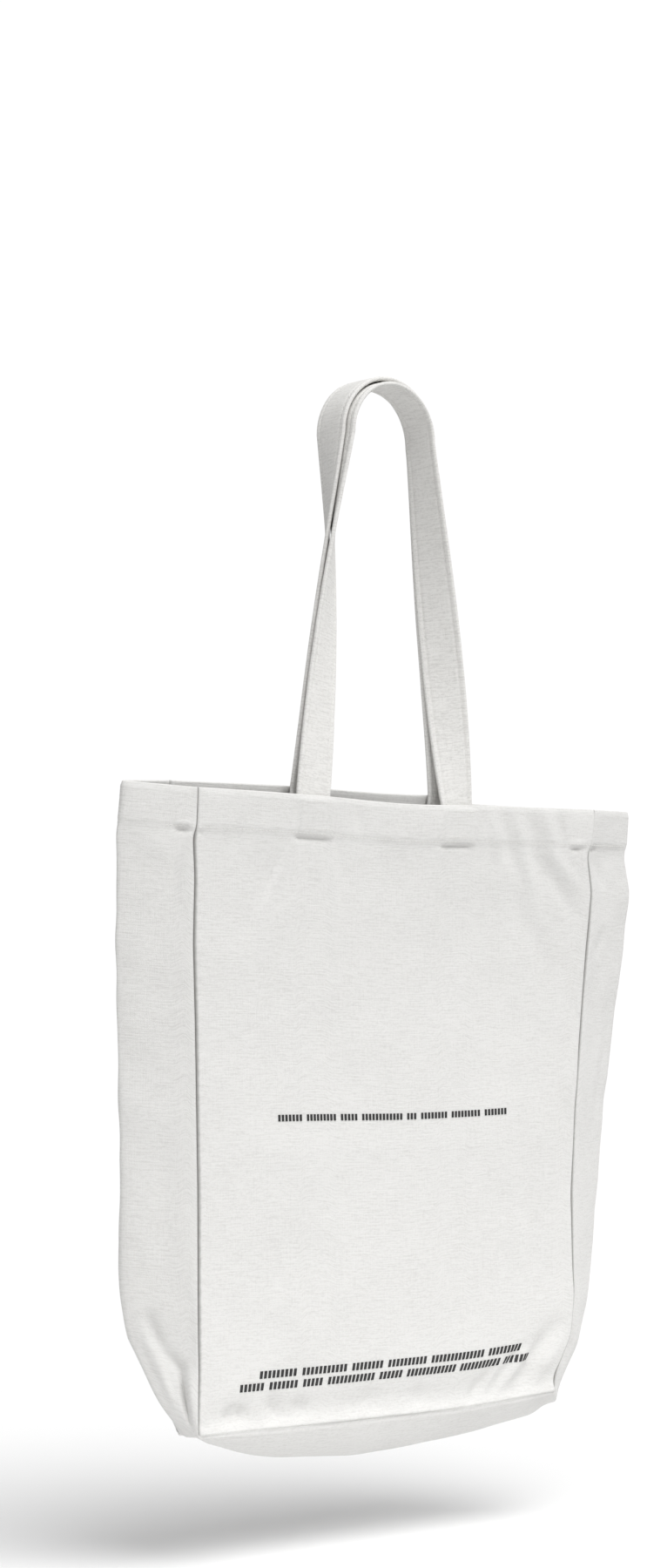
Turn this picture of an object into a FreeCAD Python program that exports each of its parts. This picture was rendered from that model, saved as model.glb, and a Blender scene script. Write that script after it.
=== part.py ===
import FreeCAD, Part
import os
import Sketcher

# A canvas tote bag that hangs by both handles from one round arm.
# Millimetres. X runs across the bag, -Y is its front, +Z is up. The origin is the centre of
# the front handle's loop, where the arm passes through.

PARTS_FOLDER = "parts"

SIZES = [
    ("panel_wide", 380, "front and back panel, seam to seam at the rim"),
    ("panel_tall", 445, "front panel, rim to bottom seam"),
    ("gusset_deep", 110, "side panel, seam to seam, laid flat"),
    ("cloth_thick", 0.9, "one layer of canvas"),
    ("hem_tall", 29, "turned hem"),
    ("hem_thick", 2.4, "three layers of canvas at the hem"),
    ("seam_open_rim", 17, "half the distance between the panels at their side seams, at the rim"),
    ("seam_open_foot", 37.5, "the same at the bottom seam"),
    ("mouth_half", 3.7, "half the gap between the two pairs of handle ends in the mouth"),
    ("pinch_fade", 250, "depth at which the pinch of the mouth has gone"),
    ("pinch_margin", 12, "flat cloth beside each handle end"),
    ("mouth_back", 3, "middle of the mouth behind the origin"),
    ("foot_back", 40, "how much further back the middle of the foot hangs"),
    ("foot_narrow", 18, "how much each side seam comes in from rim to foot"),
    ("back_lift", 6.5, "back rim above the front rim, because its handle runs outside"),
    ("bag_shift", 11, "middle of the bag beside the middle of the handles"),
    ("corner_tall", 100, "height over which the gusset fold runs into the bottom corner"),
    ("left_corner_reach", 5, "how far the left gusset's fold still stands out at its corner"),
    ("right_corner_reach", 40, "the same on the right, where the corner stays open"),
    ("corner_tip", 3, "half the width of the bottom panel at the tip of a corner"),
    ("sag_middle", 30, "sag of the bottom panel's fold in its middle"),
    ("sag_end", 8, "sag of the bottom panel's fold at its ends"),
    ("sag_share", 0.6, "share of the width that carries the full sag"),
    ("strap_wide", 31, "handle, folded canvas"),
    ("strap_thick", 3, "four layers of canvas"),
    ("strap_apart", 68, "handle middle from the middle of the pair, at the rim"),
    ("loop_rise", 264, "centre of the loops above the front rim"),
    ("loop_bore", 37, "radius of the arm that the inner loop hangs on"),
    ("loop_gap", 1.5, "air between the inner and the outer loop"),
    ("loop_stagger", 6, "outer loop behind the inner loop"),
    ("twist_power", 1.3, "how early along the strand the quarter turn happens"),
    ("seam_gap", 0.3, "air between pieces that meet at a seam"),
    ("joint_gap", 0.5, "air between a handle and the rim that it swings over"),
    ("overlock_wide", 8, "overlocked seam edge, across"),
    ("overlock_thick", 2, "overlocked seam edge, through"),
    ("overlock_clear", 1.5, "air between a long bottom overlock and its panel"),
    ("overlock_stop", 16, "a long bottom overlock ends this far from the side seam"),
    ("thread_thick", 0.6, "sewing thread"),
    ("stitch_drop", 27, "hem stitching below the rim"),
    ("tack_inset", 4, "tack stitching inside the edge of a handle end"),
]

TWIST_STEPS = 10
QUARTER_TURN = 90
HALF_TURN = 180
BAG_SIDES = {"left": -1, "right": 1}
BAG_FACES = {"front": -1, "back": 1}

doc = FreeCAD.newDocument("canvas_tote_bag")
sheet = doc.addObject("Spreadsheet::Sheet", "sizes")
for row, (alias, value, note) in enumerate(SIZES, start=1):
    sheet.set(f"A{row}", alias)
    sheet.set(f"B{row}", str(value))
    sheet.set(f"C{row}", note)
    sheet.setAlias(f"B{row}", alias)
doc.recompute()


# ---- geometry of the hanging bag, as expressions of the sheet ----

HALF_CLOTH = "sizes.cloth_thick / 2"
HEM_INSIDE = "(sizes.hem_thick - sizes.cloth_thick / 2)"
CORNER_DEPTH = "(sizes.panel_tall - sizes.corner_tall)"
SEAM_CLEAR = "(2 * sizes.cloth_thick)"
SEWN_END = "(sizes.strap_thick + sizes.seam_gap + sizes.hem_thick - sizes.cloth_thick / 2)"
RIM_PINCH = f"(sizes.mouth_half + {SEWN_END})"
PINCH_WIDE = "(sizes.strap_apart + sizes.strap_wide / 2 + sizes.pinch_margin)"
GUSSET_HALF = "(sizes.gusset_deep / 2)"
GRIP = "(sizes.mouth_half + sizes.strap_thick / 2)"


def down(depth):
    return f"({depth} / sizes.panel_tall)"


def level(depth):
    """Height of a place that is depth below the front rim."""
    return f"(-sizes.loop_rise - {depth})"


def half_wide(depth):
    """Side seam from the middle of the bag."""
    return f"(sizes.panel_wide / 2 - sizes.foot_narrow * {down(depth)})"


def seam_open(depth):
    """Side seam in front of or behind the middle of the bag."""
    return f"(sizes.seam_open_rim + (sizes.seam_open_foot - sizes.seam_open_rim) * {down(depth)})"


def middle(depth):
    """Middle of the bag, which hangs further back towards the foot."""
    return f"(sizes.mouth_back + sizes.foot_back * {down(depth)})"


def pinch_open(depth):
    """Panel beside the handles in front of or behind the middle of the bag."""
    return f"({RIM_PINCH} + ({seam_open(depth)} - {RIM_PINCH}) * min(1; {depth} / sizes.pinch_fade))"


def corner_reach(side):
    return "sizes.right_corner_reach" if side > 0 else "sizes.left_corner_reach"


def fold_reach(side, depth):
    """Gusset's middle fold beyond the side seams."""
    free = f"sqrt({GUSSET_HALF}^2 - {seam_open(depth)}^2)"
    into_corner = f"max(0; ({depth} - {CORNER_DEPTH}) / sizes.corner_tall)"
    return f"({free} + ({corner_reach(side)} - {free}) * {into_corner})"


# ---- sketches and lofts ----

def plane_of(body, role):
    for feature in body.Origin.OriginFeatures:
        if feature.Role == role:
            return feature
    raise ValueError(role)


def new_body(label):
    body = doc.addObject("PartDesign::Body", label)
    body.Label = label
    return body


def section(body, points, offset, role="XY_Plane"):
    """A closed outline through points, each a pair of expressions, on a plane at an offset."""
    sketch = body.newObject("Sketcher::SketchObject", f"{body.Label}_section")
    sketch.AttachmentSupport = [(plane_of(body, role), "")]
    sketch.MapMode = "FlatFace"
    sketch.setExpression(".AttachmentOffset.Base.z", offset)
    corners = []
    for across, up in points:
        x = float(sketch.evalExpression(across))
        y = float(sketch.evalExpression(up))
        corners.append(FreeCAD.Vector(x, y, 0))
    for start, end in zip(corners, corners[1:] + corners[:1]):
        sketch.addGeometry(Part.LineSegment(start, end), False)
    for side in range(len(corners)):
        following = (side + 1) % len(corners)
        sketch.addConstraint(Sketcher.Constraint("Coincident", side, 2, following, 1))
    for side, (across, up) in enumerate(points):
        place = corners[side]
        for kind, value, expression in [("DistanceX", place.x, across), ("DistanceY", place.y, up)]:
            index = sketch.addConstraint(Sketcher.Constraint(kind, -1, 1, side, 1, value))
            sketch.setExpression(f"Constraints[{index}]", expression)
    return sketch


def loft(body, sections):
    feature = body.newObject("PartDesign::AdditiveLoft", f"{body.Label}_loft")
    feature.Profile = sections[0]
    feature.Sections = sections[1:]
    feature.Ruled = True
    doc.recompute()
    return feature


# ---- front and back panels ----

def panel_points(face, depth, inside):
    """Plan of a panel: straight beside the handles, spreading to the side seams."""
    seam_x = f"({half_wide(depth)} - {HALF_CLOTH} - sizes.seam_gap)"
    stations = [
        (f"sizes.bag_shift - {seam_x}", seam_open(depth)),
        (f"-{PINCH_WIDE}", pinch_open(depth)),
        (PINCH_WIDE, pinch_open(depth)),
        (f"sizes.bag_shift + {seam_x}", seam_open(depth)),
    ]
    outer = [(x, f"{middle(depth)} + {face} * ({y} + {HALF_CLOTH})") for x, y in stations]
    inner = [(x, f"{middle(depth)} + {face} * ({y} - {inside})") for x, y in reversed(stations)]
    return outer + inner


def make_panel(side_name, face):
    body = new_body(f"{side_name}_panel")
    lift = "sizes.back_lift" if face > 0 else "0"
    rim = f"{level('0')} + {lift}"
    hem = f"{level('sizes.hem_tall')} + {lift}"
    depths = ["sizes.pinch_fade", CORNER_DEPTH, "sizes.panel_tall"]
    cloth = [section(body, panel_points(face, "0", HALF_CLOTH), rim)]
    cloth.append(section(body, panel_points(face, "sizes.hem_tall", HALF_CLOTH), hem))
    for depth in depths:
        cloth.append(section(body, panel_points(face, depth, HALF_CLOTH), level(depth)))
    loft(body, cloth)
    turned = [
        section(body, panel_points(face, "0", HEM_INSIDE), rim),
        section(body, panel_points(face, "sizes.hem_tall", HEM_INSIDE), hem),
    ]
    loft(body, turned)
    return body


# ---- side gussets, folded outwards along the middle ----

def gusset_points(side, depth, inside):
    reach = fold_reach(side, depth)
    spread = seam_open(depth)
    slant = f"sqrt({reach}^2 + {spread}^2)"

    def leg(face, offset):
        x = f"sizes.bag_shift + {side} * ({half_wide(depth)} + {offset} * {spread} / {slant})"
        y = f"{middle(depth)} + {face} * ({spread} + {offset} * {reach} / {slant})"
        return (x, y)

    def fold(offset):
        x = f"sizes.bag_shift + {side} * ({half_wide(depth)} + {reach} + {offset} * {slant} / {spread})"
        return (x, middle(depth))

    inner = f"(-{inside})"
    outer = f"({HALF_CLOTH})"
    return [leg(-1, outer), fold(outer), leg(1, outer), leg(1, inner), fold(inner), leg(-1, inner)]


def make_gusset(side_name, side):
    body = new_body(f"{side_name}_gusset")
    depths = ["0", "sizes.hem_tall", "sizes.pinch_fade", CORNER_DEPTH, "sizes.panel_tall"]
    loft(body, [section(body, gusset_points(side, depth, HALF_CLOTH), level(depth)) for depth in depths])
    hem = ["0", "sizes.hem_tall"]
    loft(body, [section(body, gusset_points(side, depth, HEM_INSIDE), level(depth)) for depth in hem])
    return body


# ---- bottom panel, sagging along its middle fold ----

def bottom_points(spread, sag):
    foot = "sizes.panel_tall"
    slant = f"sqrt({spread}^2 + ({sag})^2)"
    top = f"({level(foot)} - sizes.seam_gap)"
    thick = f"(sizes.cloth_thick * {slant} / {spread})"
    centre = middle(foot)
    return [
        (f"{centre} - {spread}", top),
        (centre, f"{top} - {sag}"),
        (f"{centre} + {spread}", top),
        (f"{centre} + {spread}", f"{top} - {thick}"),
        (centre, f"{top} - {sag} - {thick}"),
        (f"{centre} - {spread}", f"{top} - {thick}"),
    ]


def make_bottom():
    body = new_body("bottom_panel")
    reach = half_wide("sizes.panel_tall")
    spread = f"({seam_open('sizes.panel_tall')} - {HALF_CLOTH})"
    stations = [
        (f"sizes.bag_shift - {reach} - {corner_reach(-1)}", "sizes.corner_tip", "sizes.cloth_thick"),
        (f"sizes.bag_shift - {reach}", spread, "sizes.sag_end"),
        (f"sizes.bag_shift - {reach} * sizes.sag_share", spread, "sizes.sag_middle"),
        (f"sizes.bag_shift + {reach} * sizes.sag_share", spread, "sizes.sag_middle"),
        (f"sizes.bag_shift + {reach}", spread, "sizes.sag_end"),
        (f"sizes.bag_shift + {reach} + {corner_reach(1)}", "sizes.corner_tip", "sizes.cloth_thick"),
    ]
    loft(body, [section(body, bottom_points(wide, sag), x, "YZ_Plane") for x, wide, sag in stations])
    return body


# ---- overlocked seam edges on the inside ----

def make_upright_overlock(side_name, side, face_name, face):
    body = new_body(f"{face_name}_{side_name}_seam_overlock")
    sections = []
    for depth in ["(sizes.hem_tall + sizes.seam_gap)", CORNER_DEPTH, "(sizes.panel_tall - sizes.seam_gap)"]:
        outer_x = f"({half_wide(depth)} - sizes.cloth_thick - 2 * sizes.seam_gap)"
        inner_x = f"({outer_x} - sizes.overlock_wide)"
        flat_y = f"({pinch_open(depth)} - {seam_open(depth)}) / ({half_wide(depth)} - {PINCH_WIDE})"
        inner_drop = f"{flat_y} * (sizes.overlock_wide + sizes.cloth_thick + sizes.bag_shift)"
        near = f"({seam_open(depth)} - {HALF_CLOTH} - sizes.seam_gap)"
        points = []
        for x, drop, through in [(outer_x, "0", "0"), (inner_x, inner_drop, "0"),
                                 (inner_x, inner_drop, "sizes.overlock_thick"),
                                 (outer_x, "0", "sizes.overlock_thick")]:
            across = f"sizes.bag_shift + {side} * {x}"
            points.append((across, f"{middle(depth)} + {face} * ({near} + {drop} - {through})"))
        sections.append(section(body, points, level(depth)))
    loft(body, sections)
    return body


def make_long_overlock(face_name, face):
    """Along the front or back bottom seam, standing up inside the bag."""
    body = new_body(f"{face_name}_bottom_seam_overlock")
    foot = "sizes.panel_tall"
    near = f"({seam_open(foot)} - sizes.cloth_thick - sizes.overlock_clear)"
    low = f"({level(foot)} + sizes.seam_gap)"
    points = []
    for through, up in [("0", "0"), ("sizes.overlock_thick", "0"),
                        ("sizes.overlock_thick", "sizes.overlock_wide"), ("0", "sizes.overlock_wide")]:
        points.append((f"{middle(foot)} + {face} * ({near} - {through})", f"{low} + {up}"))
    reach = f"({half_wide(foot)} - sizes.overlock_stop)"
    ends = [f"sizes.bag_shift - {reach}", f"sizes.bag_shift + {reach}"]
    loft(body, [section(body, points, end, "YZ_Plane") for end in ends])
    return body


def make_short_overlock(side_name, side):
    """Along the bottom edge of a gusset."""
    box = doc.addObject("Part::Box", f"{side_name}_bottom_seam_overlock")
    box.Label = f"{side_name}_bottom_seam_overlock"
    foot = "sizes.panel_tall"
    reach = f"({seam_open(foot)} - sizes.overlock_wide)"
    near = f"({half_wide(foot)} - {SEAM_CLEAR})"
    start = near if side < 0 else f"({near} - sizes.overlock_thick)"
    box.setExpression("Length", "sizes.overlock_thick")
    box.setExpression("Width", f"2 * {reach}")
    box.setExpression("Height", "sizes.overlock_wide")
    box.setExpression("Placement.Base.x", f"sizes.bag_shift + {side} * {start}")
    box.setExpression("Placement.Base.y", f"{middle(foot)} - {reach}")
    box.setExpression("Placement.Base.z", f"{level(foot)} + sizes.seam_gap")
    return box


# ---- handles ----

def strap_section(body, side, face, step):
    """Cross-section of a strand, turning from flat on the panel to flat round the arm."""
    share = step / TWIST_STEPS
    lift = "sizes.back_lift" if face > 0 else "0"
    loop = "(sizes.loop_bore + sizes.strap_thick / 2)"
    stagger = "0"
    if face > 0:
        loop = f"({loop} + sizes.strap_thick + sizes.loop_gap)"
        stagger = "sizes.loop_stagger"
    half_w = "sizes.strap_wide / 2"
    half_t = "sizes.strap_thick / 2"
    points = [(f"-{half_w}", f"-{half_t}"), (half_w, f"-{half_t}"),
              (half_w, half_t), (f"-{half_w}", half_t)]
    root = f"(sizes.loop_rise - {lift} - sizes.joint_gap)"
    sketch = section(body, points, f"-{root} * {1 - share}")
    across = f"{side} * (sizes.strap_apart * {1 - share} + {loop} * {share})"
    along = f"(sizes.mouth_back + {face} * {GRIP}) * {1 - share} + {stagger} * {share}"
    turn = f"{-side * QUARTER_TURN} * (1 - {1 - share}^sizes.twist_power)"
    sketch.setExpression(".AttachmentOffset.Base.x", across)
    sketch.setExpression(".AttachmentOffset.Base.y", along)
    sketch.setExpression(".AttachmentOffset.Rotation.Angle", turn)
    return sketch


def make_handle(face_name, face):
    body = new_body(f"{face_name}_handle")
    bore = "sizes.loop_bore"
    stagger = "0"
    if face > 0:
        bore = "(sizes.loop_bore + sizes.strap_thick + sizes.loop_gap)"
        stagger = "sizes.loop_stagger"
    half_w = "sizes.strap_wide / 2"
    outer = f"({bore} + sizes.strap_thick)"
    points = [(bore, f"{stagger} - {half_w}"), (outer, f"{stagger} - {half_w}"),
              (outer, f"{stagger} + {half_w}"), (bore, f"{stagger} + {half_w}")]
    profile = section(body, points, "0")
    loop = body.newObject("PartDesign::Revolution", f"{face_name}_handle_loop")
    loop.Profile = profile
    loop.ReferenceAxis = (plane_of(body, "Y_Axis"), [""])
    loop.Angle = HALF_TURN
    loop.Reversed = True
    doc.recompute()
    for side in BAG_SIDES.values():
        loft(body, [strap_section(body, side, face, step) for step in range(TWIST_STEPS + 1)])
    return body


def end_points(side, face, depth):
    """A handle end in plan, against the inner face of the hem."""
    middle_x = f"{side} * sizes.strap_apart"
    outer_y = f"({pinch_open(depth)} - {HEM_INSIDE} - sizes.seam_gap)"
    points = []
    for edge, through in [(-1, "0"), (1, "0"), (1, "sizes.strap_thick"), (-1, "sizes.strap_thick")]:
        x = f"{middle_x} + {edge} * sizes.strap_wide / 2"
        points.append((x, f"{middle(depth)} + {face} * ({outer_y} - {through})"))
    return points


def make_handle_end(side_name, side, face_name, face):
    body = new_body(f"{face_name}_{side_name}_handle_end")
    lift = "sizes.back_lift" if face > 0 else "0"
    sections = []
    for depth in ["sizes.seam_gap", "sizes.hem_tall"]:
        sections.append(section(body, end_points(side, face, depth), f"{level(depth)} + {lift}"))
    loft(body, sections)
    return body


# ---- thread ----

def make_tack(side_name, side, face_name, face):
    """The row of tight stitches across a handle end, on the outside of the hem."""
    box = doc.addObject("Part::Box", f"{face_name}_{side_name}_tack_stitching")
    box.Label = f"{face_name}_{side_name}_tack_stitching"
    lift = "sizes.back_lift" if face > 0 else "0"
    depth = "(sizes.stitch_drop - sizes.tack_inset)"
    reach = "(sizes.strap_wide / 2 - sizes.tack_inset)"
    outer = f"({pinch_open(depth)} + {HALF_CLOTH} + sizes.seam_gap)"
    start = outer if face > 0 else f"({outer} + sizes.thread_thick)"
    box.setExpression("Length", f"2 * {reach}")
    box.setExpression("Width", "sizes.thread_thick")
    box.setExpression("Height", "sizes.thread_thick")
    box.setExpression("Placement.Base.x", f"{side} * sizes.strap_apart - {reach}")
    box.setExpression("Placement.Base.y", f"{middle(depth)} + {face} * {start}")
    box.setExpression("Placement.Base.z", f"{level(depth)} + {lift}")
    return box


def make_hem_stitching(face_name, face):
    """The row that holds the hem, along the outside of a panel."""
    body = new_body(f"{face_name}_hem_stitching")
    lift = "sizes.back_lift" if face > 0 else "0"
    sections = []
    for depth in ["sizes.stitch_drop", "(sizes.stitch_drop + sizes.thread_thick)"]:
        seam_x = f"({half_wide(depth)} - {SEAM_CLEAR})"
        stations = [
            (f"sizes.bag_shift - {seam_x}", seam_open(depth)),
            (f"-{PINCH_WIDE}", pinch_open(depth)),
            (PINCH_WIDE, pinch_open(depth)),
            (f"sizes.bag_shift + {seam_x}", seam_open(depth)),
        ]
        near = f"({HALF_CLOTH} + sizes.seam_gap)"
        far = f"({near} + sizes.thread_thick)"
        inner = [(x, f"{middle(depth)} + {face} * ({y} + {near})") for x, y in stations]
        outer = [(x, f"{middle(depth)} + {face} * ({y} + {far})") for x, y in reversed(stations)]
        sections.append(section(body, inner + outer, f"{level(depth)} + {lift}"))
    loft(body, sections)
    return body


# ---- the whole bag ----

pieces = [make_bottom()]
for face_name, face in BAG_FACES.items():
    pieces.append(make_panel(face_name, face))
    pieces.append(make_handle(face_name, face))
    pieces.append(make_long_overlock(face_name, face))
    pieces.append(make_hem_stitching(face_name, face))
    for side_name, side in BAG_SIDES.items():
        pieces.append(make_handle_end(side_name, side, face_name, face))
        pieces.append(make_upright_overlock(side_name, side, face_name, face))
        pieces.append(make_tack(side_name, side, face_name, face))
for side_name, side in BAG_SIDES.items():
    pieces.append(make_gusset(side_name, side))
    pieces.append(make_short_overlock(side_name, side))

doc.recompute()
for item in doc.Objects:
    if "Invalid" in item.State or "Error" in item.State:
        raise RuntimeError(f"{item.Label} did not build: {item.State}")
for piece in pieces:
    if piece.Shape.isNull() or not piece.Shape.isValid():
        raise RuntimeError(f"{piece.Label} has no valid shape")

os.makedirs(PARTS_FOLDER, exist_ok=True)
for piece in pieces:
    piece.Shape.exportStep(f"{PARTS_FOLDER}/{piece.Label}.step")
    box = piece.Shape.BoundBox
    print(f"{piece.Label}: {len(piece.Shape.Solids)} solid, {piece.Shape.Volume:.0f} mm3,"
          f" z {box.ZMin:.1f} to {box.ZMax:.1f}")
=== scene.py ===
import math
import bmesh
import bpy
import numpy as np
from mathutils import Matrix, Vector, noise


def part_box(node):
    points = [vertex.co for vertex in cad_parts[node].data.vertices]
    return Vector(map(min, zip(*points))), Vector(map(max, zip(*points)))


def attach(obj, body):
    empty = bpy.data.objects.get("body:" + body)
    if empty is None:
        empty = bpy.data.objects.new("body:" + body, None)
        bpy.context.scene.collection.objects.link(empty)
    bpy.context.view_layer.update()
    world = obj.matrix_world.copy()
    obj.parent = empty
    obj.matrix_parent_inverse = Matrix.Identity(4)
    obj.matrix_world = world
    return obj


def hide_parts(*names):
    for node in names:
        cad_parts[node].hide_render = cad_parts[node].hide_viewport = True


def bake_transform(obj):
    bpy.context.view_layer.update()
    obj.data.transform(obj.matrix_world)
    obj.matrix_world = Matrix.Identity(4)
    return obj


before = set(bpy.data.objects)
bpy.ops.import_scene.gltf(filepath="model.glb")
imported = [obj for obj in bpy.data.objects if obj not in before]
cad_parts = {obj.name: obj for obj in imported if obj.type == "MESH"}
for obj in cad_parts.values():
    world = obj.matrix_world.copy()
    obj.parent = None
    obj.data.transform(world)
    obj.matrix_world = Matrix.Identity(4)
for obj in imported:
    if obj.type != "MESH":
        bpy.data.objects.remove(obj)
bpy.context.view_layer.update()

# A canvas tote bag that hangs empty by both handles. Lengths are in metres.
# u runs across a panel from the left seam to the right one, t down it from the rim to the foot.

MM = 0.001
CLOTH = 0.9 * MM
HEM = 29 * MM
STITCH_DROP = 27 * MM
ALLOWANCE = 6 * MM
ROLL = 1.9 * MM
SEAM_GAP = 0.2 * MM
HEM_GAP = 1.35 * MM
STRAP_WIDE = 31 * MM
STRAP_THICK = 3 * MM
STRAP_DEEP = 3.75 * MM
GRIP = 5.2 * MM             # half the gap between the two straps where they leave the rim
GUSSET_DEEP = 110 * MM

front_low, front_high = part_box("front_panel")
back_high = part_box("back_panel")[1]
inner_loop_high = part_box("front_handle")[1]
outer_loop_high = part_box("back_handle")[1]
bottom_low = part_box("bottom_panel")[0]

RIM = front_high.z
FOOT = front_low.z
TALL = RIM - FOOT
BACK_LIFT = back_high.z - front_high.z
SHIFT = (front_low.x + front_high.x) / 2
HALF_RIM = (front_high.x - front_low.x) / 2 + CLOTH / 2 + 0.3 * MM
HALF_FOOT = HALF_RIM - 18 * MM
MOUTH_BACK = 3 * MM
FOOT_BACK = 40 * MM
OPEN_RIM = 17 * MM
OPEN_FOOT = 37.5 * MM
PINCH_RIM = 8.95 * MM
PINCH_FADE = 250 * MM
PINCH_FLAT = 90 * MM
ROOT_X = {-1: -66.5 * MM, 1: 71 * MM}
BACK_ROOT_IN = 3 * MM
INNER_RADIUS = inner_loop_high.z - STRAP_THICK / 2
OUTER_RADIUS = outer_loop_high.z - STRAP_THICK / 2
OUTER_STAGGER = 6 * MM
TWIST_POWER = 1.3
LATE_TWIST = 1.7
SIDES = {"left": -1, "right": 1}
FACES = {"front": -1, "back": 1}


# ---- small helpers ----

def through(points, at, soft=7.0):
    """A smooth curve near given (place, value) points, both in millimetres."""
    places, values = zip(*points)
    offsets = np.linspace(-2, 2, 9) * soft
    weights = np.exp(-0.5 * (offsets / soft) ** 2)
    at = np.asarray(at, float) / MM
    total = sum(w * np.interp(at + o, places, values) for w, o in zip(weights, offsets))
    return total / weights.sum() * MM


def smooth(x):
    x = np.clip(x, 0, 1)
    return x * x * (3 - 2 * x)


def hump(x, middle, wide):
    return np.exp(-((x - middle) / wide) ** 2)


def plateau(x, low, high, soft):
    return smooth((x - low) / soft + 0.5) * smooth((high - x) / soft + 0.5)


def crumple(points, size, seed):
    """Even noise over an array of points, from -1 to 1."""
    flat = points.reshape(-1, 3)
    values = [noise.noise(Vector(p) / size + Vector((seed, seed, seed))) for p in flat]
    return np.array(values).reshape(points.shape[:-1])


def crease(across, down, start, end, wide, high):
    """A ridge, or a furrow where high is below 0, from start to end in millimetres on the cloth."""
    start, end = np.array(start) * MM, np.array(end) * MM
    run = end - start
    along = ((across - start[0]) * run[0] + (down - start[1]) * run[1]) / (run @ run)
    near = np.clip(along, 0, 1)
    away = np.hypot(across - start[0] - near * run[0], down - start[1] - near * run[1])
    taper = np.sin(math.pi * np.clip(along * 0.9 + 0.05, 0, 1))
    return high * MM * taper * np.exp(-(away / (wide * MM)) ** 2)


# ---- how the bag hangs ----

SEAM_BEND = {
    -1: [(0, 0.3), (28, -1), (33, -3.4), (60, -2), (107, -3.4), (165, -1.8), (275, -0.2), (400, 0),
         (445, -1.5)],
    1: [(0, 1.5), (28, -0.5), (33, -3.6), (63, 3.6), (90, 3), (140, 1), (225, -1.2), (295, 0.5), (330, 4),
        (372, 9), (404, 7.5), (420, -1), (432, -6), (445, -6.5)],
}
FOLD_REACH = {
    -1: [(0, 51), (47, 53), (90, 51), (170, 50), (225, 46), (300, 43), (345, 42), (372, 38), (388, 31),
         (404, 25), (420, 19), (432, 11), (445, 1)],
    1: [(0, 54), (56, 59), (82, 59), (180, 57), (300, 55), (345, 49), (383, 41), (410, 38), (428, 38),
        (445, 36)],
}
FOOT_LEVEL = [(0, 0), (100, -0.5), (250, -0.5), (290, 1.5), (330, 4), (350, 5), (380, 5.5)]
SEAM_SPREAD = [(0, 90), (345, 90), (372, 72), (388, 63), (404, 52), (419, 42), (432, 33), (445, 22)]
RIM_DIP = 5.5 * MM
CORNER_DROP = {-1: 1 * MM, 1: 13 * MM}


def middle_y(down):
    return MOUTH_BACK + FOOT_BACK * down / TALL


def seam_open(down):
    return OPEN_RIM + (OPEN_FOOT - OPEN_RIM) * down / TALL


def pinch_open(down):
    return PINCH_RIM + (seam_open(down) - PINCH_RIM) * np.minimum(1, down / PINCH_FADE)


def seam_x(side, down):
    straight = HALF_RIM + (HALF_FOOT - HALF_RIM) * down / TALL
    return SHIFT + side * straight + through(SEAM_BEND[side], down, 4.0)


def rim_z(x, face):
    sag = 3.6 * MM * hump(x, 25 * MM, 75 * MM) + 1.5 * MM * smooth((x - 60 * MM) / (100 * MM))
    if face < 0:
        return RIM - sag
    return RIM + BACK_LIFT - 0.5 * sag - RIM_DIP * smooth((x - 60 * MM) / (40 * MM))


def foot_z(x):
    return FOOT + through(FOOT_LEVEL, x - SHIFT + HALF_FOOT, 10.0)


def panel_point(face, u, t):
    """A panel's cloth without its creases, as an array of points."""
    down = t * TALL
    left, right = seam_x(-1, down), seam_x(1, down)
    x = left + (right - left) * u
    edge = np.where(x < 0, left, right)
    spread = np.clip((np.abs(x) - PINCH_FLAT) / np.maximum(np.abs(edge) - PINCH_FLAT, MM), 0, 1)
    spread = 0.5 * spread + 0.5 * smooth(spread)
    opened = pinch_open(down) + (seam_open(down) - pinch_open(down)) * spread
    y = middle_y(down) + face * opened
    if face > 0:
        closed = np.maximum(0, 2 * seam_open(down) - through(SEAM_SPREAD, down, 5.0))
        y = y - closed * (1 - smooth(u / 0.4)) ** 1.5
    z = rim_z(x, face) + (foot_z(x) - rim_z(x, face)) * t
    return np.stack([x, y, z], -1)


def seam_point(side, face, t):
    return panel_point(face, np.full_like(t, (side + 1) / 2), t)


def fold_point(side, t):
    """The middle fold of a gusset."""
    down = t * TALL
    x = seam_x(side, down) + side * through(FOLD_REACH[side], down, 6.0)
    seams = (seam_point(side, -1, t) + seam_point(side, 1, t)) / 2
    z = seams[..., 2] - CORNER_DROP[side] * smooth((t - 0.5) / 0.5)
    return np.stack([x, seams[..., 1], z], -1)


def fold_profile(w):
    """0 at the middle fold of a gusset, 1 at its seams, nearly straight between."""
    round_off = 0.10
    return (np.sqrt(w * w + round_off ** 2) - round_off) / (math.sqrt(1 + round_off ** 2) - round_off)


def gusset_point(side, w, t):
    """w runs from -1 at the front seam to 1 at the back seam."""
    front, back = seam_point(side, -1, t), seam_point(side, 1, t)
    fold = fold_point(side, t)
    k, w = fold_profile(w)[..., None], w[..., None]
    return fold + k * ((front + back) / 2 - fold) + w * (back - front) / 2


# ---- cloth sheets ----

def roll_columns(count_step, length):
    """Places across a sheet, each (distance from the first seam, distance inwards)."""
    gap = CLOTH / 2 + SEAM_GAP
    edge = [(gap, ROLL + ALLOWANCE), (gap, ROLL + ALLOWANCE / 2), (gap, ROLL)]
    for step in range(1, 5):
        turn = math.pi / 2 * (1 - step / 5)
        edge.append((gap + ROLL * (1 - math.sin(turn)), ROLL * (1 - math.cos(turn))))
    start = gap + ROLL
    count = max(2, round((length - 2 * start) / count_step))
    flat = [(start + (length - 2 * start) * i / count, 0.0) for i in range(count + 1)]
    return np.array(edge + flat + [(length - a, i) for a, i in reversed(edge)])


def under_hem(down):
    """The seam allowance is caught flat under the hem and stands free below it."""
    return 0.2 + 0.8 * smooth((down - HEM + 2 * MM) / (8 * MM))


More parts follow.
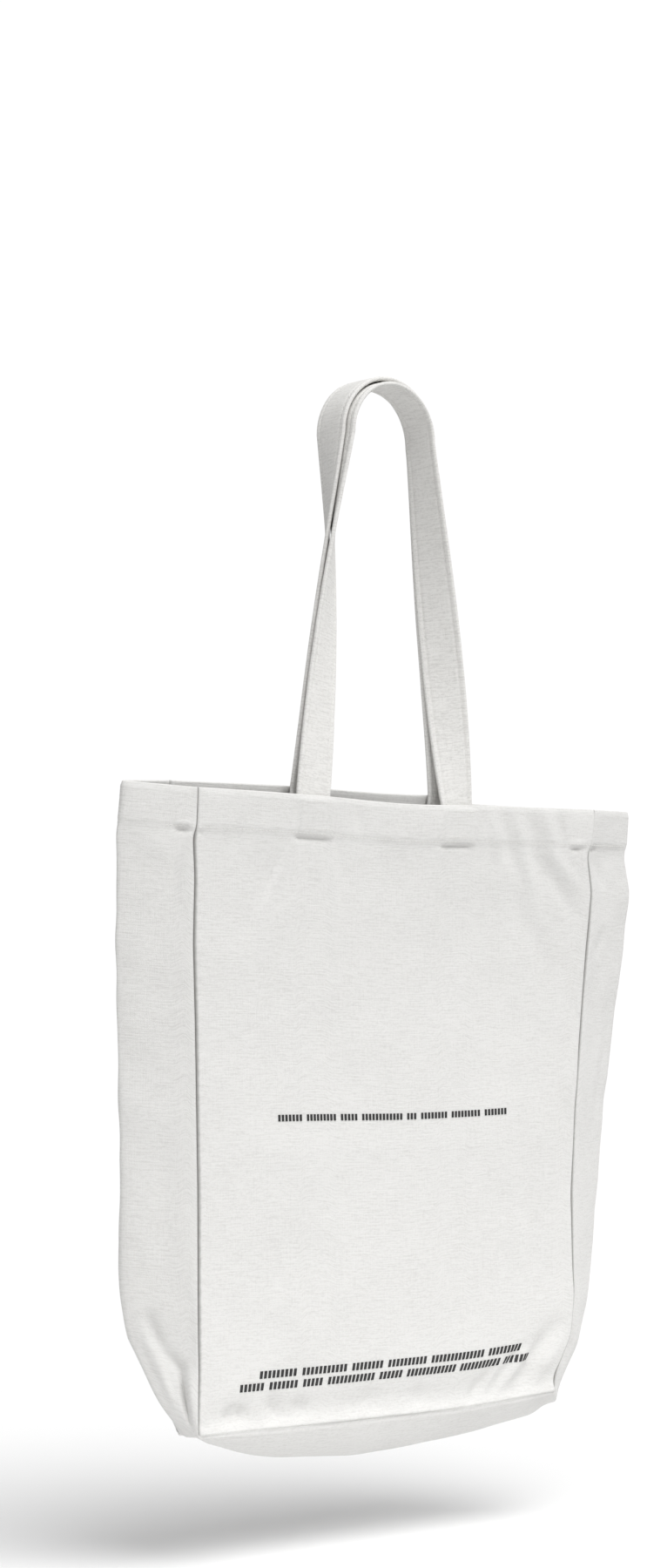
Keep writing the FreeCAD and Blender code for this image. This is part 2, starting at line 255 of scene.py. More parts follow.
PAINTED_SHADE_EDGE = 0.6 * MM      # the painted shade of a seam's groove is whole this near the seam
PAINTED_SHADE_FADE = 1.7 * MM      # and has faded out this much further on
FOOT_PAINTED_SHADE_PALER = 0.9 * MM       # the seam along the foot gets less painted shade than the side seams
RIM_PAINTED_SHADE_PALER = 0.8 * MM        # and so do the side seams where they cross the hem
LEAN = 0.7                  # the bottom seam's allowances lean up and in by this share of their width
COLUMN_STEP = 2.2 * MM      # spacing of a gusset's grid across it
ROW_STEP = 2.8 * MM         # spacing of a panel's or gusset's grid down it


def rim_painted_shade_paler(down):
    """How much less of a side seam's painted shade shows at each depth."""
    return RIM_PAINTED_SHADE_PALER * (1 - smooth((down - HEM + 4 * MM) / (8 * MM)))


def hem_rows(count_step):
    """Places down a sheet from the hem's inner edge over the rim to the foot, each (depth, inwards)."""
    inside = [(HEM - 1 * MM - d, HEM_GAP) for d in np.arange(0, HEM - 2 * MM, 3 * MM)]
    radius = HEM_GAP / 2
    turns = np.linspace(0, math.pi, 7)
    over = [(radius * (1 - math.sin(a)), radius + radius * math.cos(a)) for a in turns]
    near = [(d, 0.0) for d in np.arange(1.8 * MM, 36 * MM, 1.2 * MM)]
    gap = CLOTH / 2 + SEAM_GAP
    end = TALL - gap - ROLL
    count = round((end - near[-1][0]) / count_step)
    far = [(near[-1][0] + (end - near[-1][0]) * i / count, 0.0) for i in range(1, count + 1)]
    foot = []
    for step in range(1, 6):
        turn = math.pi / 2 * step / 5
        foot.append((end + ROLL * math.sin(turn), ROLL * (1 - math.cos(turn))))
    for inwards in (ALLOWANCE / 2, ALLOWANCE):
        foot.append((TALL - gap - LEAN * inwards, ROLL + LEAN * inwards))
    return np.array(inside + over + near + far + foot)


def grid_mesh(name, points, uv, near_seam):
    """A sheet of quads through a grid of points, with uv in metres of cloth and painted shade along its
    seam edges.
    """
    rows, columns = points.shape[:2]
    index = np.arange(rows * columns).reshape(rows, columns)
    quads = np.stack([index[:-1, :-1], index[1:, :-1], index[1:, 1:], index[:-1, 1:]], -1).reshape(-1, 4)
    mesh = bpy.data.meshes.new(name)
    mesh.from_pydata(points.reshape(-1, 3).tolist(), [], quads.tolist())
    layer = mesh.uv_layers.new(name="cloth")
    flat_uv = uv.reshape(-1, 2)
    layer.data.foreach_set("uv", flat_uv[quads.reshape(-1)].astype(np.float32).reshape(-1))
    # The groove attribute is painted shade: how far the canvas colour is darkened near each seam.
    groove = mesh.attributes.new("groove", "FLOAT", "POINT")
    depth = 1 - smooth((near_seam - PAINTED_SHADE_EDGE) / PAINTED_SHADE_FADE)
    groove.data.foreach_set("value", depth.reshape(-1).astype(np.float32))
    return smooth_piece(name, mesh)


def smooth_piece(name, mesh):
    """A new smooth-shaded object that holds the mesh."""
    mesh.polygons.foreach_set("use_smooth", [True] * len(mesh.polygons))
    piece = bpy.data.objects.new(name, mesh)
    bpy.context.scene.collection.objects.link(piece)
    return piece


def settle(piece):
    """Turns a piece and its modifiers into a plain mesh."""
    graph = bpy.context.evaluated_depsgraph_get()
    mesh = bpy.data.meshes.new_from_object(piece.evaluated_get(graph), depsgraph=graph)
    old = piece.data
    piece.modifiers.clear()
    piece.data = mesh
    bpy.data.meshes.remove(old)
    mesh.name = piece.name
    return piece


def thicken(piece):
    shell = piece.modifiers.new("thickness", "SOLIDIFY")
    shell.thickness = CLOTH
    shell.offset = 0
    return settle(piece)


def cloth_uv(points):
    """Running length across and down a grid of points, as its uv in metres of cloth."""
    def run(steps, axis):
        length = np.cumsum(np.linalg.norm(steps, axis=-1), axis=axis)
        return np.concatenate([np.zeros_like(np.take(length, [0], axis)), length], axis)
    return np.stack([run(np.diff(points, axis=1), 1), -run(np.diff(points, axis=0), 0)], -1)


def cloth_sheet(name, points, near_seam):
    """A finished sheet of canvas through a grid of points."""
    piece = grid_mesh(name, points, cloth_uv(points), near_seam)
    piece.data.materials.append(canvas)
    return thicken(piece)


def seam_distance(down, columns, width):
    """How far each place of a panel or gusset is from its nearest seam, for the painted shade of the
    grooves.
    """
    to_side = np.minimum(columns[:, 0], width - columns[:, 0])[None, :] + rim_painted_shade_paler(down)
    to_foot = np.maximum(TALL - down, 0) + FOOT_PAINTED_SHADE_PALER
    return np.minimum(to_side, to_foot)


FRONT_CREASES = [
    # start, end, width, height, all in millimetres across from the left seam and down from the rim
    ((0, 30.5), (7, 31), 1.8, -1.5),
    ((358, 31), (372, 30), 1.8, -2.4),
    ((357, 27), (371, 26.5), 2.2, 1.2),
    ((88, 32), (58, 84), 2.4, -1.3),
    ((92, 34), (63, 86), 3, 1.0),
    ((82, 30), (40, 100), 9, -0.8),
    ((281, 2), (288, 40), 4.5, 2.0),
    ((294, 2), (302, 46), 4.5, -2.0),
    ((303, 0), (322, 64), 5, 2.2),
    ((318, 0), (336, 70), 6, -2.4),
    ((332, 0), (344, 46), 4.5, 2.0),
    ((345, 2), (350, 30), 4, -1.5),
    ((328, 34), (366, 84), 6, -2.0),
    ((340, 30), (370, 66), 5, 1.4),
    ((205, 8), (196, 40), 5, 0.9),
    ((150, 4), (158, 34), 5, -0.8),
    ((130, 32), (132, 120), 5, 0.6),
    ((300, 60), (345, 130), 9, -1.2),
    ((25, 428), (31, 437), 6, -2.6),
    ((38, 426), (40, 438), 5, -2.8),
    ((64, 420), (72, 440), 6, -3.4),
    ((88, 424), (96, 438), 5, -2.2),
    ((150, 436), (162, 422), 6, -1.8),
    ((195, 437), (206, 424), 6, -1.2),
    ((250, 442), (277, 416), 5, -3.2),
    ((259, 442), (285, 420), 5, 1.8),
    ((266, 442), (308, 402), 4.4, -3.0),
    ((276, 440), (314, 408), 5, 2.6),
    ((296, 438), (342, 388), 8, -4.6),
    ((318, 436), (347, 400), 6, 2.6),
    ((60, 345), (110, 395), 14, 1.2),
    ((300, 250), (330, 370), 16, -1.2),
    ((120, 150), (135, 330), 24, -1.1),
    ((230, 120), (215, 300), 26, 1.1),
]
BACK_CREASES = [
    ((60, 20), (95, 90), 7, -1.2),
    ((270, 10), (250, 80), 8, 1.3),
    ((300, 6), (330, 90), 7, -1.4),
    ((30, 436), (80, 400), 7, -1.8),
    ((160, 440), (190, 405), 8, -1.2),
    ((290, 438), (330, 400), 7, -1.8),
    ((120, 200), (220, 330), 22, 0.9),
]


def gathers(across, down, seed):
    """Small puckers along the hem stitching."""
    place = np.stack([across / (9 * MM), down / (40 * MM), np.full_like(across, 3.0 * seed)], -1)
    ripple = crumple(place, 1.0, 2.5 + seed)
    return 0.75 * MM * ripple * hump(down, STITCH_DROP + 2 * MM, 13 * MM)


def hem_relief(down):
    """The hem's second layer stands out, and its stitching draws it in."""
    doubled = 0.8 * MM * plateau(down, 2 * MM, STITCH_DROP + 1.5 * MM, 2.2 * MM)
    return doubled - 0.55 * MM * hump(down, STITCH_DROP, 1.2 * MM)


def handle_end_relief(x, down, root):
    """A sewn-in handle end lifts the hem and leaves a dent along its lower edge."""
    over_strap = plateau(x, root - STRAP_WIDE / 2, root + STRAP_WIDE / 2, 3 * MM)
    below_strap = plateau(x, root - 18 * MM, root + 10 * MM, 6 * MM)
    lifted = 1.3 * MM * over_strap * plateau(down, 2 * MM, HEM, 2.5 * MM)
    return lifted - 1.6 * MM * below_strap * hump(down, HEM + 1.5 * MM, 2 * MM)


def panel_relief(face, base, down, from_left):
    """How far the cloth of a panel stands outwards, from its hem, handle ends, creases and left seam."""
    x = base[..., 0]
    relief = 1.8 * MM * crumple(base, 0.10, 3.7 + face) + 0.65 * MM * crumple(base, 0.03, 9.1 + face)
    relief *= smooth(down / (12 * MM)) * 0.6 + 0.4
    for root in ROOT_X.values():
        relief += handle_end_relief(x, down, root)
    relief += hem_relief(down) + gathers(from_left, down, face)
    near_foot = TALL - down
    inner = plateau(from_left, 12 * MM, 345 * MM, 40 * MM)
    uneven = 0.75 + 0.5 * crumple(base, 0.03, 8.0)
    relief -= 4.2 * MM * hump(near_foot, 12 * MM, 10 * MM) * inner * uneven
    relief += 1.4 * MM * hump(near_foot, 1.5 * MM, 2.8 * MM)
    for start, end, wide, high in FRONT_CREASES if face < 0 else BACK_CREASES:
        relief += crease(from_left, down, start, end, wide, high)
    keep = smooth(from_left / (6 * MM))
    wave = np.sin(down / (9 * MM) * 2 * math.pi + 4 * crumple(base, 0.05, 5.0))
    pucker = 0.25 * MM * wave * hump(from_left, 3 * MM, 4 * MM)
    return relief * (0.15 + 0.85 * keep) + pucker * smooth((down - HEM) / HEM)


def make_panel(name, face):
    width = 2 * HALF_RIM
    columns = roll_columns(2.5 * MM, width)
    rows = hem_rows(ROW_STEP)
    down, across = np.meshgrid(rows[:, 0], columns[:, 0], indexing="ij")
    inwards = rows[:, 1][:, None] + columns[:, 1][None, :] * under_hem(down)
    base = panel_point(face, across / width, down / TALL)
    relief = panel_relief(face, base, down, base[..., 0] - seam_x(-1, down))
    points = base.copy()
    points[..., 1] += face * (relief - inwards)
    if face > 0:
        points = points[:, ::-1]
    return cloth_sheet(name, points, seam_distance(down, columns, width))


GUSSET_CREASES = {
    -1: [
        # start, end, width, height: across from the front seam, down from the rim
        ((2, 30), (15, 29), 2.2, -2.6),
        ((2, 26), (13, 25), 2.4, 1.2),
        ((10, 34), (16, 80), 5, -1.2),
        ((28, 60), (44, 150), 8, 1.2),
        ((22, 230), (24, 350), 9, -1.2),
        ((36, 358), (29, 386), 4.5, -3.4),
        ((29, 386), (12, 402), 4.5, -3.6),
        ((18, 398), (20, 434), 3.6, -6.0),
        ((8, 398), (8, 438), 4, 1.6),
        ((38, 370), (34, 425), 6, 2.4),
        ((70, 60), (85, 200), 9, -1.0),
        ((75, 300), (95, 400), 9, 1.2),
    ],
    1: [
        ((2, 30), (12, 31), 2.2, -2.4),
        ((10, 34), (18, 62), 5, -1.8),
        ((20, 90), (12, 114), 5, -1.8),
        ((26, 120), (34, 240), 8, 1.1),
        ((40, 170), (30, 250), 6, -1.2),
        ((8, 360), (20, 395), 5, 1.8),
        ((4, 395), (22, 422), 5, -3.2),
        ((14, 384), (34, 432), 6, 2.2),
        ((70, 60), (85, 200), 9, -1.0),
        ((75, 300), (95, 400), 9, 1.2),
    ],
}


def outward(points, side):
    """Unit normals of a grid, pointing away from the bag."""
    down = np.gradient(points, axis=0)
    across = np.gradient(points, axis=1)
    normal = np.cross(down, across) * side
    return normal / np.maximum(np.linalg.norm(normal, axis=-1, keepdims=True), 1e-12)


def gusset_normals(side, w, t):
    """The directions out of a gusset at each place of its grid, taken from an even grid over it."""
    rows, columns = w.shape
    even = gusset_point(side, np.linspace(-0.98, 0.98, columns)[None, :] + 0 * w,
                        np.linspace(0, 1, rows)[:, None] + 0 * t)
    normals = outward(even, side)
    place = np.clip(t, 0, 1) * (rows - 1)
    normal = np.empty_like(even)
    for axis in range(3):
        for column in range(columns):
            source = int(round((w[0, column] + 1) / 2 * (columns - 1)))
            normal[:, column, axis] = np.interp(place[:, column], np.arange(rows), normals[:, source, axis])
    return normal


def make_gusset(name, side):
    width = GUSSET_DEEP
    columns = roll_columns(COLUMN_STEP, width)
    rows = hem_rows(ROW_STEP)
    down, across = np.meshgrid(rows[:, 0], columns[:, 0], indexing="ij")
    hem_in = np.broadcast_to(rows[:, 1][:, None], down.shape)
    roll_in = columns[:, 1][None, :] * under_hem(down)
    w = across / width * 2 - 1
    t = down / TALL
    base = gusset_point(side, w, t)
    normal = gusset_normals(side, w, t)
    relief = 2.0 * MM * crumple(base, 0.07, 1.3 * side) + 0.8 * MM * crumple(base, 0.026, 6.0 + side)
    relief += hem_relief(down) + gathers(across, down, 2 + side)
    for start, end, wide, high in GUSSET_CREASES[side]:
        relief += crease(across, down, start, end, wide, high)
    near_seam = np.minimum(across, width - across)
    relief *= 0.1 + 0.9 * smooth(near_seam / (7 * MM))
    towards_inside = np.stack([np.zeros_like(w), -np.sign(w), np.zeros_like(w)], -1)
    points = base + normal * (relief - hem_in)[..., None] + towards_inside * roll_in[..., None]
    if side < 0:
        points = points[:, ::-1]
    return cloth_sheet(name, points, seam_distance(down, columns, width))


BOTTOM_SAG = [(0, 1), (10, 4), (20, 7), (40, 13), (65, 20), (90, 25), (150, 30), (200, 28.5), (230, 26),
              (270, 23), (310, 19), (345, 14)]


def bottom_point(u, w):
    """The bottom panel: w from -1 at the front seam to 1 at the back seam."""
    one = np.ones_like(u)
    front = panel_point(-1, u, one)
    back = panel_point(1, u, one)
    middle = (front + back) / 2
    ends_left = fold_point(-1, np.array([1.0]))[0]
    ends_right = fold_point(1, np.array([1.0]))[0]
    x_middle = ends_left[0] + (ends_right[0] - ends_left[0]) * u
    at_left = 1 - smooth(u / 0.07)
    at_right = smooth((u - 0.9) / 0.1)
    sag = through(BOTTOM_SAG, u * 2 * HALF_FOOT, 8.0) * (1 - at_left) * (1 - at_right)
    sag += CORNER_DROP[-1] * at_left + CORNER_DROP[1] * at_right
    at_end = np.maximum(at_left, at_right)
    k = (1 - w * w) * (1 - at_end) + (1 - fold_profile(w)) * at_end
    point = middle + (back - front) / 2 * w[..., None]
    point[..., 0] += (x_middle - middle[..., 0]) * k
    point[..., 2] -= sag * k
    forward = 2.5 * MM * k * np.abs(w) * 2 * (1 - at_end)
    point[..., 1] += np.sign(w) * forward
    return point


def make_bottom(name):
    width = GUSSET_DEEP
    columns = roll_columns(3 * MM, 2 * HALF_FOOT)
    rows = roll_columns(COLUMN_STEP, width)
    v, u = np.meshgrid(rows[:, 0] / width, columns[:, 0] / (2 * HALF_FOOT), indexing="ij")
    inwards = np.maximum(rows[:, 1][:, None], columns[:, 1][None, :])
    w = v * 2 - 1
    rolled = np.minimum(inwards, ROLL)
    row_over = LEAN * np.maximum(rows[:, 1] - ROLL, 0)[:, None]
    column_over = LEAN * np.maximum(columns[:, 1] - ROLL, 0)[None, :]
    base = bottom_point(u, w)
    relief = 0.8 * MM * crumple(base, 0.06, 2.2) + 0.25 * MM * crumple(base, 0.02, 7.7)
    near_seam = np.minimum(v, 1 - v) * width
    relief *= 0.1 + 0.9 * smooth(near_seam / (9 * MM))
    relief += 0.9 * MM * hump(near_seam, 2 * MM, 3 * MM)
    points = base.copy()
    points[..., 2] += rolled + np.maximum(row_over, column_over) - relief
    points[..., 1] -= np.sign(w) * row_over
    points[..., 0] -= np.sign(u - 0.5) * column_over
    return cloth_sheet(name, points, near_seam + FOOT_PAINTED_SHADE_PALER)


# ---- handles ----

def strand_turn(side, share):
    """The quarter turn of a strand between the rim and the arm; the left one turns later."""
    if side > 0:
        return math.pi / 2 * (1 - (1 - share) ** TWIST_POWER)
    return math.pi / 2 * share ** LATE_TWIST


def strap_path(face, steps=140):
    """Centre line of a handle from its left end to its right end, with its width direction."""
    radius = OUTER_RADIUS if face > 0 else INNER_RADIUS
    stagger = OUTER_STAGGER if face > 0 else 0.0
    rim = RIM + (BACK_LIFT if face > 0 else 0)

    def strand(side):
        points, widths = [], []
        root = ROOT_X[side] - (side * BACK_ROOT_IN if face > 0 else 0)
        for d in np.linspace(HEM - 1 * MM, 0, 12, endpoint=False):
            u = (root - seam_x(-1, d)) / (seam_x(1, d) - seam_x(-1, d))
            spot = panel_point(face, np.array([u]), np.array([d / TALL]))[0]
            points.append((root, spot[1] - face * STRAP_DEEP, spot[2]))
            widths.append((side, 0, 0))
        for share in np.linspace(0, 1, steps // 2):
            turn = strand_turn(side, share)
            away = 0.0
            behind = 0.0
            if face > 0:
                closing = (1 - share) ** 5
                away = 2 * GRIP * closing + (OUTER_RADIUS - INNER_RADIUS) * (1 - closing)
                behind = OUTER_STAGGER * share ** 2
            x = root * (1 - share) + side * INNER_RADIUS * share
            y = (MOUTH_BACK - GRIP) * (1 - share)
            x += side * (math.sin(turn) * away - math.cos(turn) * behind)
            y += math.cos(turn) * away + math.sin(turn) * behind
            points.append((x, y, rim * (1 - share)))
            widths.append((side * math.cos(turn), -math.sin(turn), 0))
        return points, widths

    left_points, left_widths = strand(-1)
    right_points, right_widths = strand(1)
    arc_points, arc_widths = [], []
    for angle in np.linspace(math.pi, 0, 42)[1:-1]:
        arc_points.append((radius * math.cos(angle), stagger, radius * math.sin(angle)))
        arc_widths.append((0, -1, 0))
    points = np.array(left_points + arc_points + right_points[::-1])
    widths = np.array(left_widths + arc_widths + right_widths[::-1], float)
    return points, widths


def strap_frames(face):
    points, widths = strap_path(face)
    along = np.gradient(points, axis=0)
    along /= np.linalg.norm(along, axis=1, keepdims=True)
    normal = np.cross(along, widths)
    normal /= np.linalg.norm(normal, axis=1, keepdims=True)
    wide = np.cross(normal, along)
    length = np.concatenate([[0], np.cumsum(np.linalg.norm(np.diff(points, axis=0), axis=1))])
    return points, wide, normal, length


STITCH_INSET = 4.5 * MM
GROOVE = 0.34


def strap_outline():
    """Cross-section of the folded strap, once round, flat faces drawn in along the stitching."""
    half_w, half_t = STRAP_WIDE / 2, STRAP_THICK / 2
    across = list(np.linspace(-half_w + half_t, half_w - half_t, 11))
    for edge in (-1, 1):
        across += [edge * (half_w - STITCH_INSET) + step * MM for step in (-1.3, -0.7, 0, 0.7, 1.3)]
    across = np.unique(np.round(across, 5))
    groove = 1 - GROOVE * hump(np.abs(across), half_w - STITCH_INSET, 0.8 * MM)
    top = [(a, half_t * g) for a, g in zip(across, groove)]
    turns = np.linspace(0.35, math.pi - 0.35, 4)
    edge = [(half_w - half_t + half_t * math.sin(q), half_t * math.cos(q)) for q in turns]
    bottom = [(-a, -b) for a, b in top]
    other = [(-a, -b) for a, b in edge]
    return np.array(top + edge + bottom + other)


def tube_face(ring, side, count):
    """One face of a tube whose rings have count corners each."""
    here, above, after = ring * count, (ring + 1) * count, (side + 1) % count
    return here + side, here + after, above + after, above + side


def make_strap(name, face):
    points, wide, normal, length = strap_frames(face)
    outline = strap_outline()
    rings = points[:, None] + wide[:, None] * outline[None, :, :1] + normal[:, None] * outline[None, :, 1:]
    rings += normal[:, None] * (0.12 * MM * crumple(rings, 0.02, 4.0 + face))[..., None]
    count = len(outline)
    vertices = rings.reshape(-1, 3).tolist()
    faces, uv = [], []
    sides = np.linalg.norm(np.diff(outline, axis=0, append=outline[:1]), axis=1)
    round_length = np.concatenate([[0], np.cumsum(sides)])
    for ring in range(len(points) - 1):
        for side in range(count):
            faces.append(tube_face(ring, side, count))
            for r, s in ((ring, side), (ring, side + 1), (ring + 1, side + 1), (ring + 1, side)):
                uv.append((round_length[s], length[r]))
    last = (len(points) - 1) * count
    faces.append(tuple(reversed(range(count))))
    faces.append(tuple(last + i for i in range(count)))
    uv += [tuple(outline[i]) for i in reversed(range(count))] + [tuple(outline[i]) for i in range(count)]
    mesh = bpy.data.meshes.new(name)
    mesh.from_pydata(vertices, [], faces)
    layer = mesh.uv_layers.new(name="cloth")
    layer.data.foreach_set("uv", np.array(uv, np.float32).reshape(-1))
    piece = smooth_piece(name, mesh)
    fix_normals(piece)
    piece.data.materials.append(strap_canvas)
    return piece


def fix_normals(piece):
    """Turns every face of a closed mesh outwards."""
    work = bmesh.new()
    work.from_mesh(piece.data)
    bmesh.ops.recalc_face_normals(work, faces=work.faces)
    work.to_mesh(piece.data)
    work.free()


# ---- stitches, by geometry nodes ----

def stitch_tree():
    """Lays a row of thread stitches along every edge path of a mesh."""
    tree = bpy.data.node_groups.new("stitch_row", "GeometryNodeTree")
    face = tree.interface
    face.new_socket("Paths", in_out="INPUT", socket_type="NodeSocketGeometry")
    sizes = {}
    for label, default in (("Pitch", 3.2 * MM), ("Stitch Length", 2.5 * MM), ("Thread", 0.55 * MM)):
        socket = face.new_socket(label, in_out="INPUT", socket_type="NodeSocketFloat")
        socket.default_value = default
        sizes[label] = socket.identifier
    material = face.new_socket("Material", in_out="INPUT", socket_type="NodeSocketMaterial")
    sizes["Material"] = material.identifier
    face.new_socket("Stitches", in_out="OUTPUT", socket_type="NodeSocketGeometry")

    def node(kind):
        return tree.nodes.new(kind)

    start, end = node("NodeGroupInput"), node("NodeGroupOutput")
    curve, even = node("GeometryNodeMeshToCurve"), node("GeometryNodeResampleCurve")
    even.mode = "LENGTH"
    place, tangent = node("GeometryNodeInstanceOnPoints"), node("GeometryNodeInputTangent")
    align = node("FunctionNodeAlignRotationToVector")
    align.axis = "X"
    bead, shape = node("GeometryNodeMeshUVSphere"), node("GeometryNodeTransform")
    bead.inputs["Segments"].default_value = 6
    bead.inputs["Rings"].default_value = 5
    bead.inputs["Radius"].default_value = 0.5
    scale = node("ShaderNodeCombineXYZ")
    soften = node("GeometryNodeSetShadeSmooth")
    real, paint = node("GeometryNodeRealizeInstances"), node("GeometryNodeSetMaterial")
    link = tree.links.new
    link(start.outputs["Paths"], curve.inputs["Mesh"])
    link(curve.outputs["Curve"], even.inputs["Curve"])
    link(start.outputs["Pitch"], even.inputs["Length"])
    link(even.outputs["Curve"], place.inputs["Points"])
    link(tangent.outputs["Tangent"], align.inputs["Vector"])
    link(align.outputs["Rotation"], place.inputs["Rotation"])
    link(start.outputs["Stitch Length"], scale.inputs["X"])
    link(start.outputs["Thread"], scale.inputs["Y"])
    link(start.outputs["Thread"], scale.inputs["Z"])
    link(bead.outputs["Mesh"], shape.inputs["Geometry"])
    link(scale.outputs["Vector"], shape.inputs["Scale"])
    link(shape.outputs["Geometry"], soften.inputs["Geometry"])
    link(soften.outputs["Geometry"], place.inputs["Instance"])
    link(place.outputs["Instances"], real.inputs["Geometry"])
    link(real.outputs["Geometry"], paint.inputs["Geometry"])
    link(start.outputs["Material"], paint.inputs["Material"])
    link(paint.outputs["Geometry"], end.inputs["Stitches"])
    return tree, sizes


def make_stitches(name, paths, pitch=3.2 * MM, stitch=2.5 * MM, thread_wide=0.55 * MM):
    """Rows of stitches along open paths, each a list of points."""
    vertices, edges = [], []
    for path in paths:
        first = len(vertices)
        vertices += [tuple(p) for p in path]
        edges += [(first + i, first + i + 1) for i in range(len(path) - 1)]
    mesh = bpy.data.meshes.new(name)
    mesh.from_pydata(vertices, edges, [])
    piece = bpy.data.objects.new(name, mesh)
    bpy.context.scene.collection.objects.link(piece)
    rows = piece.modifiers.new("stitches", "NODES")
    rows.node_group = STITCH_TREE
    rows[STITCH_INPUTS["Pitch"]] = pitch
    rows[STITCH_INPUTS["Stitch Length"]] = stitch
    rows[STITCH_INPUTS["Thread"]] = thread_wide
    rows[STITCH_INPUTS["Material"]] = thread
    return settle(piece)


# ---- materials ----

def principled(name, colour, rough):
    material = bpy.data.materials.new(name)
    material.use_nodes = True
    shader = material.node_tree.nodes["Principled BSDF"]
    shader.inputs["Base Color"].default_value = (*colour, 1)
    shader.inputs["Roughness"].default_value = rough
    return material, shader


# Colour and strength of the painted shade that darkens the canvas in its seam grooves.
PAINTED_SHADE_COLOUR = (0.16, 0.155, 0.145, 1)
PAINTED_SHADE_STRENGTH = 0.55


def woven(name, colour, shade, thread_size, rib):
    """Plain-weave canvas, drawn on the cloth's own uv in metres, with painted shade in the grooves of its
    seams.
    """
    material, shader = principled(name, colour, 0.92)
    shader.inputs["Sheen Weight"].default_value = 0.18
    shader.inputs["Sheen Roughness"].default_value = 0.6
    shader.inputs["Specular IOR Level"].default_value = 0.25
    tree = material.node_tree
    link = tree.links.new

    def node(kind, **inputs):
        made = tree.nodes.new(kind)
        for key, value in inputs.items():
            made.inputs[key.replace("_", " ")].default_value = value
        return made

    cloth = node("ShaderNodeUVMap")
    cloth.uv_map = "cloth"
    split = node("ShaderNodeSeparateXYZ")
    link(cloth.outputs["UV"], split.inputs["Vector"])

    def maths(operation, first, second=None):
        made = node("ShaderNodeMath")
        made.operation = operation
        for slot, value in enumerate((first, second)):
            if value is None:
                continue
            if hasattr(value, "is_output"):
                link(value, made.inputs[slot])
            else:
                made.inputs[slot].default_value = value
        return made.outputs[0]

    def stretched(scale_x, scale_y, detail, size):
        mapping = node("ShaderNodeMapping")
        mapping.inputs["Scale"].default_value = (scale_x, scale_y, 1)
        link(cloth.outputs["UV"], mapping.inputs["Vector"])
        made = node("ShaderNodeTexNoise", Scale=size, Detail=detail, Roughness=0.6)
        link(mapping.outputs["Vector"], made.inputs["Vector"])
        return made.outputs["Fac"]

    turn = 2 * math.pi / thread_size
    wobble = maths("MULTIPLY", stretched(1, 1, 2, 300), 1.6)
    warp = maths("SINE", maths("ADD", maths("MULTIPLY", split.outputs["X"], turn), wobble))
    weft = maths("SINE", maths("ADD", maths("MULTIPLY", split.outputs["Y"], turn), wobble))
    weave = maths("MULTIPLY", warp, weft)
    weft_slub = stretched(0.07, 1, 3, 900)
    warp_slub = stretched(1, 0.05, 3, 1100)
    fine = stretched(1, 1, 3, 2600)
    ribs = maths("MULTIPLY", maths("SUBTRACT", weft_slub, 0.5), rib)
    posts = maths("MULTIPLY", maths("SUBTRACT", warp_slub, 0.5), rib * 0.6)
    height = maths("ADD", maths("ADD", maths("MULTIPLY", weave, 0.5), ribs),
                   maths("ADD", posts, maths("MULTIPLY", fine, 0.5)))
    bump = node("ShaderNodeBump", Strength=0.6, Distance=0.0003)
    link(height, bump.inputs["Height"])
    link(bump.outputs["Normal"], shader.inputs["Normal"])

    soil = stretched(1, 1, 2, 9)
    grain = stretched(0.55, 1, 2, 620)
    slubs = maths("ADD", maths("MULTIPLY", maths("SUBTRACT", weft_slub, 0.5), 1.1),
                  maths("MULTIPLY", maths("SUBTRACT", grain, 0.5), 0.9))
    tone = maths("ADD", slubs,
                 maths("ADD", maths("MULTIPLY", maths("SUBTRACT", warp_slub, 0.5), 0.25),
                       maths("MULTIPLY", maths("SUBTRACT", soil, 0.5), 0.25)))
    ramp = node("ShaderNodeValToRGB")
    ramp.color_ramp.elements[0].position = 0.1
    ramp.color_ramp.elements[0].color = (*shade, 1)
    ramp.color_ramp.elements[1].position = 0.6
    ramp.color_ramp.elements[1].color = (*colour, 1)
    link(maths("ADD", tone, 0.5), ramp.inputs["Fac"])
    # Painted shade: the groove attribute mixes the base colour towards a dark grey near the seams.
    groove = node("ShaderNodeAttribute")
    groove.attribute_name = "groove"
    shaded = node("ShaderNodeMix")
    shaded.data_type = "RGBA"
    link(maths("MULTIPLY", groove.outputs["Fac"], PAINTED_SHADE_STRENGTH), shaded.inputs["Factor"])
    link(ramp.outputs["Color"], shaded.inputs["A"])
    shaded.inputs["B"].default_value = PAINTED_SHADE_COLOUR
    link(shaded.outputs["Result"], shader.inputs["Base Color"])
    return material


def cotton_thread(name, colour):
    material, shader = principled(name, colour, 0.75)
    tree = material.node_tree
    place = tree.nodes.new("ShaderNodeTexCoord")
    ply = tree.nodes.new("ShaderNodeTexWave")
    ply.inputs["Scale"].default_value = 900
    ply.inputs["Distortion"].default_value = 2
    bump = tree.nodes.new("ShaderNodeBump")
    bump.inputs["Strength"].default_value = 0.4
    bump.inputs["Distance"].default_value = 0.0002
    tree.links.new(place.outputs["Object"], ply.inputs["Vector"])
    tree.links.new(ply.outputs["Fac"], bump.inputs["Height"])
    tree.links.new(bump.outputs["Normal"], shader.inputs["Normal"])
    return material


def screen_ink(name):
    material, shader = principled(name, (0.012, 0.012, 0.013), 0.6)
    tree = material.node_tree
    place = tree.nodes.new("ShaderNodeTexCoord")
    grain = tree.nodes.new("ShaderNodeTexNoise")
    grain.inputs["Scale"].default_value = 1800
    ramp = tree.nodes.new("ShaderNodeValToRGB")
    ramp.color_ramp.elements[0].color = (0.008, 0.008, 0.009, 1)
    ramp.color_ramp.elements[1].color = (0.035, 0.034, 0.034, 1)
    tree.links.new(place.outputs["Object"], grain.inputs["Vector"])
    tree.links.new(grain.outputs["Fac"], ramp.inputs["Fac"])
    tree.links.new(ramp.outputs["Color"], shader.inputs["Base Color"])
    return material


